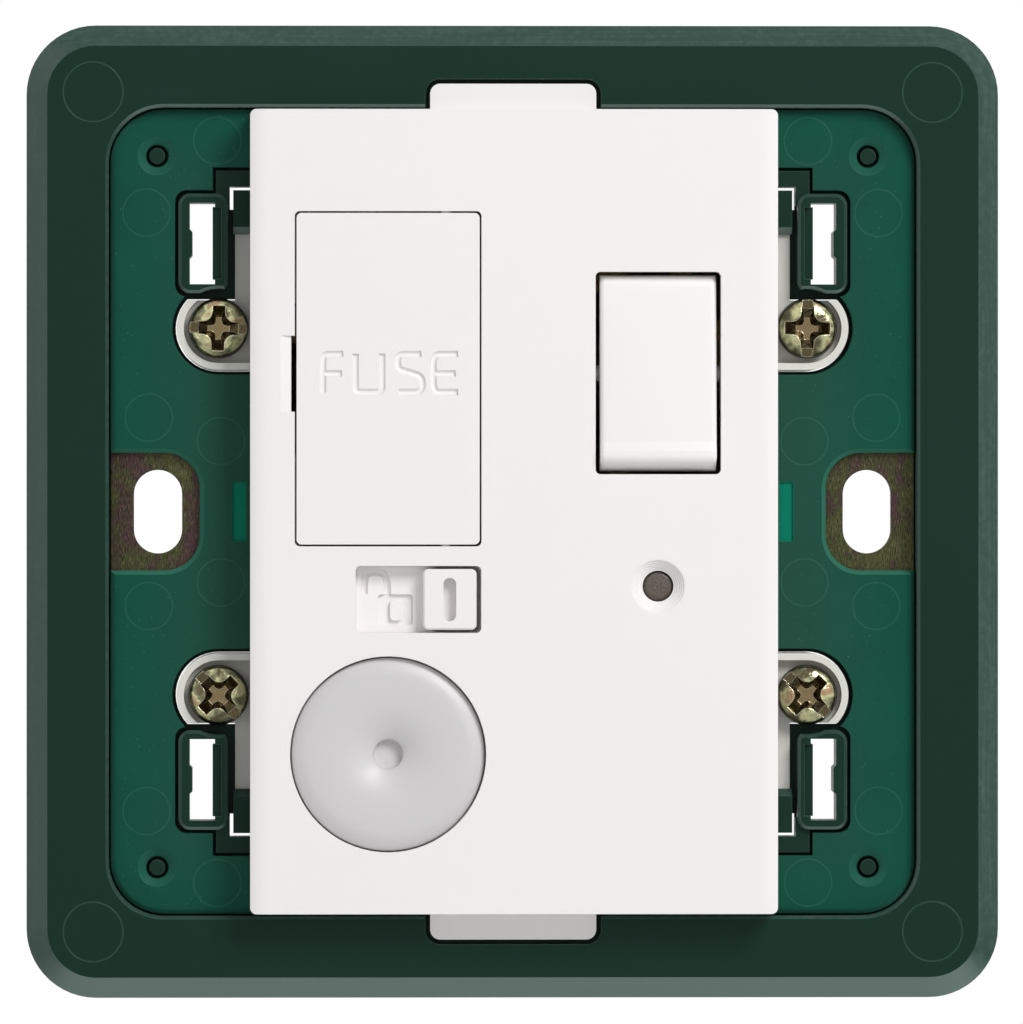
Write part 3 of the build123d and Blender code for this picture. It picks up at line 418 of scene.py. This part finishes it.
def zinc_plate_finish():
    """Passivated steel: fine upright grain under patches of olive, brown and purple."""
    finish = Finish("zinc_plate", Metallic=0.85)
    grain = finish.noise((0.06, 0.3, 0.6), detail=4.0, rough=0.75)
    flecks = finish.noise((0.1, 0.3, 0.6), detail=2.0).between(0.58, 0.7)
    patches = finish.noise((1.8, 1.8, 3.2), detail=5.0, rough=0.7)
    stops = [
        (0.36, tint(86, 58, 66)),
        (0.47, tint(76, 66, 54)),
        (0.56, tint(78, 84, 48)),
        (0.68, tint(92, 90, 62)),
    ]
    colour = finish.mix(grain.between(0.4, 0.66), finish.ramp(patches, stops), tint(26, 24, 18))
    finish.feed("Base Color", finish.mix(0.35 * flecks, colour, tint(140, 132, 96)))
    finish.feed("Roughness", 0.32 + 0.25 * grain)
    finish.relief(grain, 0.03, 0.1)
    return finish.material


def zinc_screw_finish():
    """Yellow passivation that drifts between straw, green and rose, with painted shade down in the drive and
    on upright walls, and a painted highlight along the head's edges.
    """
    finish = Finish("zinc_screw", Metallic=1.0)
    _, y, _ = finish.spot()
    drift = finish.noise((1.3, 1.3, 1.3), detail=2.0)
    stops = [
        (0.36, tint(92, 86, 66)),
        (0.45, tint(132, 132, 104)),
        (0.54, tint(196, 196, 150)),
        (0.66, tint(168, 142, 112)),
    ]
    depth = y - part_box("terminal_screws")[0].y / MM
    # Painted shade: upright walls of the head and the drive turn dark brown.
    wall_shade_mask = 1.0 - finish.facing().between(0.2, 0.8)
    # Painted shade down in the drive: dark olive brown in its upper part, lighter brown on its deep floor.
    drive_shade = finish.mix(depth.between(0.8, 1.35), tint(84, 76, 55), tint(128, 112, 82))
    colour = finish.mix(depth.between(0.36, 0.62), finish.ramp(drift, stops), drive_shade)
    colour = finish.mix(0.7 * wall_shade_mask, colour, tint(48, 40, 30))
    # Painted highlight: pale gold along the head's edges.
    finish.feed("Base Color", finish.mix(0.9 * finish.edges(0.14), colour, tint(232, 226, 196)))
    skin = finish.noise((0.5, 0.5, 0.5), detail=3.0)
    finish.feed("Roughness", 0.1 + 0.2 * skin)
    finish.relief(skin, 0.08, 0.12)
    return finish.material


def metal(name, colour, roughness):
    """Plain bright metal with a faint drawn grain."""
    finish = Finish(name, Metallic=1.0)
    grain = finish.noise((0.1, 0.6, 1.6), detail=3.0)
    darker = tuple(c * 0.82 for c in colour[:3]) + (1.0,)
    finish.feed("Base Color", finish.mix(grain, colour, darker))
    finish.feed("Roughness", roughness + 0.15 * grain)
    finish.relief(grain, 0.006, 0.06)
    return finish.material


def lens_finish():
    """Smoky brown lens, mottled with lighter brown spots that are painted glints."""
    finish = Finish("lens_dark", Coat_Weight=0.25, Coat_Roughness=0.1)
    glint_specks = finish.noise((0.14, 0.14, 0.14), detail=3.0, rough=0.7)
    # Painted glints: lighter brown spots over the smoky brown.
    finish.feed("Base Color", finish.mix(glint_specks.between(0.4, 0.75), tint(66, 55, 45), tint(102, 90, 78)))
    finish.feed("Roughness", 0.2 + 0.2 * glint_specks)
    finish.relief(glint_specks, 0.06, 0.05)
    return finish.material


finishes = {
    "white": moulded("white_plastic", tint(241, 238, 237), 0.4, 0.07, cloud=0.012),
    "mounting_frame": frame_finish(),
    "fixing_plate": zinc_plate_finish(),
    "insulating_cover": sheet_finish(),
    # The base's white is greyer and darker than the cover's: painted shade for the deep wells round the
    # screws, where the base shows.
    "base": moulded("base_white", tint(219, 219, 211), 0.45, 0.07, cloud=0.03),
    "rocker": moulded("rocker_white", tint(241, 238, 237), 0.34, 0.2, cloud=0.012),
    "outlet": moulded("outlet_grey", tint(207, 205, 206), 0.4, 0.05, cloud=0.01),
    "lens": lens_finish(),
    "screw": zinc_screw_finish(),
    "zinc": metal("zinc_yellow", tint(204, 194, 148), 0.2),
    "brass": metal("brass", tint(212, 176, 104), 0.22),
    "plated": metal("plated_metal", tint(214, 214, 212), 0.15),
    "spring": metal("spring_steel", tint(168, 168, 172), 0.25),
    "ceramic": moulded("fuse_ceramic", tint(232, 228, 214), 0.5, 0.05, cloud=0.05),
    "inner": moulded("inner_plastic", tint(222, 219, 209), 0.5, 0.08, cloud=0.03),
    "lamp": moulded("lamp_glass", tint(236, 190, 150), 0.1, 0.05, cloud=0.1, Coat_Weight=0.8),
    "board": moulded("board_green", tint(42, 84, 50), 0.55, 0.05, cloud=0.15),
}

NODE_FINISH = {
    "mounting_frame": ["mounting_frame"],
    "fixing_plate": ["fixing_plate"],
    "insulating_cover": ["insulating_cover"],
    "white": ["front_cover"],
    "base": ["base_housing", "cord_clamp_bar"],
    "brass": [
        "live_contact_arm", "neutral_contact_arm", "live_inlet_strip", "neutral_inlet_strip",
        "live_fuse_strip", "live_outlet_strip", "neutral_outlet_strip", "terminal_cages", "earth_terminal",
    ],
    "plated": ["fuse_caps"],
    "spring": ["rocker_springs", "assembly_screws"],
    "zinc": ["cord_clamp_screws", "earth_screws"],
    "ceramic": ["fuse_tube"],
    "inner": ["rocker_plungers"],
    "lamp": ["indicator_lamp"],
    "board": ["indicator_board"],
}


# Mesh helpers


def middle_of(node):
    """The middle of a node's box at rest."""
    low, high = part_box(node)
    return (low + high) / 2


def add_object(name, data):
    """A new object in the scene, at the origin."""
    made = bpy.data.objects.new(name, data)
    bpy.context.scene.collection.objects.link(made)
    return made


def shape_object(name, shape):
    """Turns a bmesh into an object as it is."""
    mesh = bpy.data.meshes.new(name)
    shape.to_mesh(mesh)
    shape.free()
    return add_object(name, mesh)


def to_object(name, shape):
    """Turns a finished bmesh into an object, with its doubles merged and its faces outwards."""
    bmesh.ops.remove_doubles(shape, verts=shape.verts, dist=MERGE)
    bmesh.ops.recalc_face_normals(shape, faces=shape.faces)
    return shape_object(name, shape)


def soften(piece, crease=SMOOTH_ANGLE):
    """Clears thin triangles, shades curved areas smooth and keeps edges sharper than the crease crisp."""
    shape = bmesh.new()
    shape.from_mesh(piece.data)
    bmesh.ops.triangulate(shape, faces=shape.faces)
    bmesh.ops.dissolve_degenerate(shape, dist=MERGE, edges=shape.edges)
    for face in shape.faces:
        face.smooth = True
    for edge in shape.edges:
        edge.smooth = edge.calc_face_angle(math.pi) < crease
    shape.to_mesh(piece.data)
    shape.free()


def dress(piece, finish, body):
    """Gives a piece its finish and the body that it moves with."""
    piece.data.materials.clear()
    piece.data.materials.append(finishes[finish])
    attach(piece, body)


def turned(name, profile, centre, front):
    """A turned form about an axis towards the room, from radii and depths in millimetres."""
    shape = bmesh.new()
    places = [(centre.x + radius * MM, front + depth * MM, centre.z) for radius, depth in profile]
    points = [shape.verts.new(place) for place in places]
    edges = [shape.edges.new(pair) for pair in zip(points, points[1:])]
    axis = Vector((0, 1, 0))
    bmesh.ops.spin(
        shape, geom=points + edges, cent=centre, axis=axis, angle=math.tau, steps=SPIN_STEPS, use_merge=True
    )
    return to_object(name, shape)


def stroke(points, width, corner):
    """A round stroke along points on the face, in millimetres from a corner, as a tool that cuts a groove."""
    curve = bpy.data.curves.new("stroke", "CURVE")
    curve.dimensions = "3D"
    spline = curve.splines.new("NURBS")
    spline.points.add(len(points) - 1)
    for place, (x, z) in zip(spline.points, points):
        place.co = (corner.x + x * MM, corner.y, corner.z + z * MM, 1.0)
    spline.use_endpoint_u = True
    spline.order_u = 3
    curve.bevel_depth = width * MM / 2
    curve.bevel_resolution = STROKE_STEPS
    curve.use_fill_caps = True
    line = add_object("stroke", curve)
    bpy.context.view_layer.update()
    mesh = bpy.data.meshes.new_from_object(line)
    bpy.data.objects.remove(line)
    return add_object("stroke", mesh)


def plate_tool(box, depth, corner, rounding):
    """A block with rounded corners over a rectangle on the face, as a tool that cuts a pocket."""
    left, low, right, high = (value * MM for value in box)
    shape = bmesh.new()
    bmesh.ops.create_cube(shape, size=1.0)
    bmesh.ops.scale(shape, vec=(right - left, 2 * depth * MM, high - low), verts=shape.verts)
    place = Vector((corner.x + (left + right) / 2, corner.y, corner.z + (low + high) / 2))
    bmesh.ops.translate(shape, vec=place, verts=shape.verts)
    corners = [e for e in shape.edges if abs((e.verts[0].co - e.verts[1].co).normalized().y) > CORNER_EDGE]
    radius = rounding * MM
    bmesh.ops.bevel(
        shape, geom=corners, offset=radius, affect="EDGES", segments=CORNER_STEPS, profile=0.5, material=-1
    )
    return to_object("pocket", shape)


def carve(piece, tools):
    """Cuts each tool out of the piece and clears the tools away."""
    for tool in tools:
        cut = piece.modifiers.new("cut", "BOOLEAN")
        cut.operation = "DIFFERENCE"
        cut.solver = "EXACT"
        cut.object = tool
    bpy.context.view_layer.update()
    graph = bpy.context.evaluated_depsgraph_get()
    mesh = bpy.data.meshes.new_from_object(piece.evaluated_get(graph))
    piece.modifiers.clear()
    piece.data = mesh
    for tool in tools:
        bpy.data.objects.remove(tool)


def merged_copy(node, name):
    """A closed copy of a solid, ready to be carved."""
    shape = bmesh.new()
    shape.from_mesh(nodes[node].data)
    bmesh.ops.remove_doubles(shape, verts=shape.verts, dist=MERGE)
    return shape_object(name, shape)


# Pieces


def engraved_fuse_door():
    """The fuse door with its sunk word."""
    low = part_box("fuse_door")[0]
    door = merged_copy("fuse_door", "fuse_door_engraved")
    centre = middle_of("fuse_door")
    tools = []
    front = low.y - (WORD_STROKE / 2 - WORD_DEPTH) * MM
    for left, points in LETTERS:
        corner = Vector((centre.x + left * MM, front, centre.z + WORD_FOOT * MM))
        tools.append(stroke(points, WORD_STROKE, corner))
    carve(door, tools)
    soften(door)
    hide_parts("fuse_door")
    dress(door, "white", "fuse_carrier")


def engraved_lock_slider():
    """The lock's plate and button with the sunk sign of an open padlock."""
    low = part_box("lock_slider")[0]
    slider = merged_copy("lock_slider", "lock_slider_engraved")
    corner = Vector((low.x + PLATE_LAP * MM, low.y + BUTTON_RISE * MM, low.z + PLATE_RISE * MM))
    body = plate_tool(LATCH_BODY, SIGN_DEPTH, corner, LATCH_BODY_ROUND)
    keyhole = plate_tool(KEYHOLE, 2 * SIGN_DEPTH, corner, LATCH_BODY_ROUND)
    carve(body, [keyhole])
    raised = Vector((corner.x, corner.y - (SHACKLE_STROKE / 2 - SIGN_DEPTH) * MM, corner.z))
    gap = plate_tool(GAP, GAP_DEPTH, corner, BUTTON_ROUND)
    carve(gap, [plate_tool(BUTTON, 2 * GAP_DEPTH, corner, BUTTON_ROUND)])
    crown = Vector((corner.x, low.y, corner.z))
    groove = plate_tool(GROOVE, GROOVE_DEPTH, crown, FULL_ROUND * (GROOVE[2] - GROOVE[0]))
    carve(slider, [body, stroke(SHACKLE, SHACKLE_STROKE, raised), gap, groove])
    soften(slider)
    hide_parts("lock_slider")
    dress(slider, "white", "lock")


def rounded_rocker():
    """The rocker with the edges of its front rounded."""
    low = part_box("switch_rocker")[0]
    rocker = merged_copy("switch_rocker", "switch_rocker_rounded")
    shape = bmesh.new()
    shape.from_mesh(rocker.data)
    bmesh.ops.dissolve_limit(shape, angle_limit=FLAT_ANGLE, verts=shape.verts, edges=shape.edges)
    front = low.y + ROCKER_FRONT * MM
    sharp = [e for e in shape.edges if e.calc_face_angle(0) > ROCKER_SHARP]
    rims = [e for e in sharp if max(v.co.y for v in e.verts) < front]
    rounding = ROCKER_ROUND * MM
    bmesh.ops.bevel(
        shape, geom=rims, offset=rounding, affect="EDGES", segments=ROCKER_STEPS, profile=0.5, material=-1
    )
    shape.to_mesh(rocker.data)
    shape.free()
    soften(rocker, ROCKER_CREASE)
    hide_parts("switch_rocker")
    dress(rocker, "rocker", "rocker")


def cross_outline():
    """Points round a cross drive: four straight arms joined by hollow curves."""
    points = []
    for quarter in range(4):
        turn = Matrix.Rotation(quarter * math.pi / 2, 2)
        points.append(turn @ Vector((CROSS_REACH, CROSS_HALF)))
        for step in range(CROSS_STEPS + 1):
            angle = -math.pi / 2 * (1 + step / CROSS_STEPS)
            place = CROSS_HALF + CROSS_HOLLOW
            curve = Vector((math.cos(angle), math.sin(angle))) * CROSS_HOLLOW
            points.append(turn @ (Vector((place, place)) + curve))
        points.append(turn @ Vector((CROSS_HALF, CROSS_REACH)))
    return points


def cross_tool():
    """A cross drive that narrows towards its floor."""
    shape = bmesh.new()
    rims = []
    for scale, depth in CROSS_LEVELS:
        places = [(p.x * scale * MM, depth * MM, p.y * scale * MM) for p in cross_outline()]
        rims.append([shape.verts.new(place) for place in places])
    for first, second in zip(rims, rims[1:]):
        for i in range(len(first)):
            shape.faces.new((first[i - 1], first[i], second[i], second[i - 1]))
    shape.faces.new(rims[0])
    shape.faces.new(rims[-1])
    return shape


def slot_tool():
    """A slot across the whole head."""
    shape = bmesh.new()
    bmesh.ops.create_cube(shape, size=1.0)
    size = (SLOT_LENGTH * MM, 2 * SLOT_DEPTH * MM, SLOT_WIDTH * MM)
    bmesh.ops.scale(shape, vec=size, verts=shape.verts)
    return shape


def drive_tools(front, turn, centre):
    """The cross and the slot of one screw, in their place."""
    placed = []
    turned_by = Matrix.Rotation(math.radians(turn), 3, "Y")
    for shape in (cross_tool(), slot_tool()):
        bmesh.ops.rotate(shape, cent=(0, 0, 0), matrix=turned_by, verts=shape.verts)
        bmesh.ops.translate(shape, vec=(centre.x, front, centre.z), verts=shape.verts)
        placed.append(to_object("drive", shape))
    return placed


def terminal_screw(side, end, turn):
    """A pan head with a combined cross and slot drive, over a plain shank."""
    low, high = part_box("terminal_screws")
    centre = Vector((side * (high.x - HEAD_RADIUS * MM), 0, end * (high.z - HEAD_RADIUS * MM)))
    length = (high.y - low.y) / MM
    shank = [(SHANK_RADIUS, HEAD_HEIGHT), (SHANK_RADIUS, length), (0.0, length)]
    profile = HEAD_CROWN + [(HEAD_EDGE, HEAD_HEIGHT)] + shank
    screw = turned("terminal_screw", profile, centre, low.y)
    carve(screw, drive_tools(low.y, turn, centre))
    return screw


def terminal_screw_set():
    """The four screws as one piece."""
    shape = bmesh.new()
    for (side, end), turn in SCREW_TURNS.items():
        screw = terminal_screw(side, end, turn)
        shape.from_mesh(screw.data)
        bpy.data.objects.remove(screw)
    screws = to_object("terminal_screw_set", shape)
    soften(screws)
    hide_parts("terminal_screws")
    dress(screws, "screw", "unit")


def cord_outlet_disc():
    """The round outlet with its rolled rim and the funnel round its blind hole."""
    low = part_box("cord_outlet_grommet")[0]
    disc = turned("cord_outlet_disc", OUTLET_PROFILE, middle_of("cord_outlet_grommet"), low.y)
    soften(disc)
    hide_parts("cord_outlet_grommet")
    dress(disc, "outlet", "unit")


def domed_lens():
    """The indicator's lens with a soft edge."""
    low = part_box("indicator_lens")[0]
    lens = turned("indicator_lens_domed", LENS_PROFILE, middle_of("indicator_lens"), low.y)
    soften(lens)
    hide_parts("indicator_lens")
    dress(lens, "lens", "unit")


def dimple_rings():
    """Shallow steps that lie in the cone round the lens, bedded a little into the front cover."""
    steps = [i / DIMPLE_RINGS for i in range(DIMPLE_RINGS + 1)]
    cone = [(DIMPLE_RADIUS + s * (DIMPLE_FOOT - DIMPLE_RADIUS), s * DIMPLE_DEPTH) for s in steps]
    profile = []
    for (outer, depth), (inner, _) in zip(cone, cone[1:]):
        profile += [(outer, depth), (inner, depth + RING_TILT)]
    profile += [(DIMPLE_FOOT, DIMPLE_DEPTH), (DIMPLE_FOOT + RING_BED, DIMPLE_DEPTH)]
    profile += [(DIMPLE_RADIUS + RING_BED, RING_BED), (DIMPLE_RADIUS, 0.0)]
    rings = turned("lens_dimple_rings", profile, middle_of("indicator_lens"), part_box("front_cover")[0].y)
    soften(rings)
    dress(rings, "white", "unit")


def dress_solids():
    """Finishes for the solids that are shown as they are."""
    for finish, names in NODE_FINISH.items():
        for name in names:
            nodes[name].data.materials.clear()
            nodes[name].data.materials.append(finishes[finish])


# Stage


def floor():
    """A pale floor well under the unit that glows a little to the camera and keeps a shadow."""
    shape = bmesh.new()
    bmesh.ops.create_grid(shape, x_segments=1, y_segments=1, size=FLOOR_HALF * MM)
    bmesh.ops.translate(shape, vec=(0, 0, cad_box[0].z - FLOOR_DROP * MM), verts=shape.verts)
    ground = to_object("floor", shape)
    finish = Finish("floor_white", Base_Color=FLOOR_COLOUR, Roughness=FLOOR_ROUGHNESS)
    finish.glow_to_camera(FLOOR_GLOW)
    ground.data.materials.append(finish.material)


def white_surround(level):
    """Even light of a given level from all sides, white to the eye and in gloss and glass."""
    world = bpy.data.worlds.new("surround")
    world.use_nodes = True
    bpy.context.scene.world = world
    tree = world.node_tree
    rays = tree.nodes.new("ShaderNodeLightPath").outputs
    seen = rays["Is Camera Ray"]
    for ray in ("Is Transmission Ray", "Is Glossy Ray"):
        either = tree.nodes.new("ShaderNodeMath")
        either.operation = "MAXIMUM"
        tree.links.new(seen, either.inputs[0])
        tree.links.new(rays[ray], either.inputs[1])
        seen = either.outputs[0]
    strength = tree.nodes.new("ShaderNodeMapRange")
    strength.inputs["To Min"].default_value = level
    strength.inputs["To Max"].default_value = 1.0
    tree.links.new(seen, strength.inputs["Value"])
    background = tree.nodes["Background"]
    background.inputs["Color"].default_value = (1, 1, 1, 1)
    tree.links.new(strength.outputs[0], background.inputs["Strength"])


def lamp(name, place, power, size):
    """A soft square lamp that looks at the unit."""
    light = bpy.data.lights.new(name, "AREA")
    light.energy = power
    light.size = size
    holder = add_object(name, light)
    holder.location = place
    holder.rotation_euler = (-Vector(place)).to_track_quat("-Z", "Y").to_euler()


def camera():
    """A long lens straight in front, turned a little to the left side of the unit."""
    lens = bpy.data.cameras.new("camera")
    lens.sensor_width = SENSOR_WIDTH
    lens.lens = SENSOR_WIDTH * CAMERA_DISTANCE / (IMAGE_WIDTH / PIXELS_PER_MM * MM)
    view = add_object("camera", lens)
    turn = Matrix.Rotation(CAMERA_TURN, 4, "Z")
    aim = Vector((CAMERA_AIM[0] * MM, cad_box[0].y / 2, CAMERA_AIM[1] * MM))
    view.location = aim + turn @ Vector((0, -CAMERA_DISTANCE, 0))
    view.rotation_euler = (aim - view.location).to_track_quat("-Z", "Y").to_euler()
    bpy.context.scene.camera = view


dress_solids()
engraved_fuse_door()
engraved_lock_slider()
rounded_rocker()
terminal_screw_set()
cord_outlet_disc()
domed_lens()
dimple_rings()
floor()
white_surround(SURROUND_LEVEL)
lamp("key", *KEY_LAMP)
lamp("fill", *FILL_LAMP)
camera()
bpy.context.scene.view_settings.view_transform = "Standard"
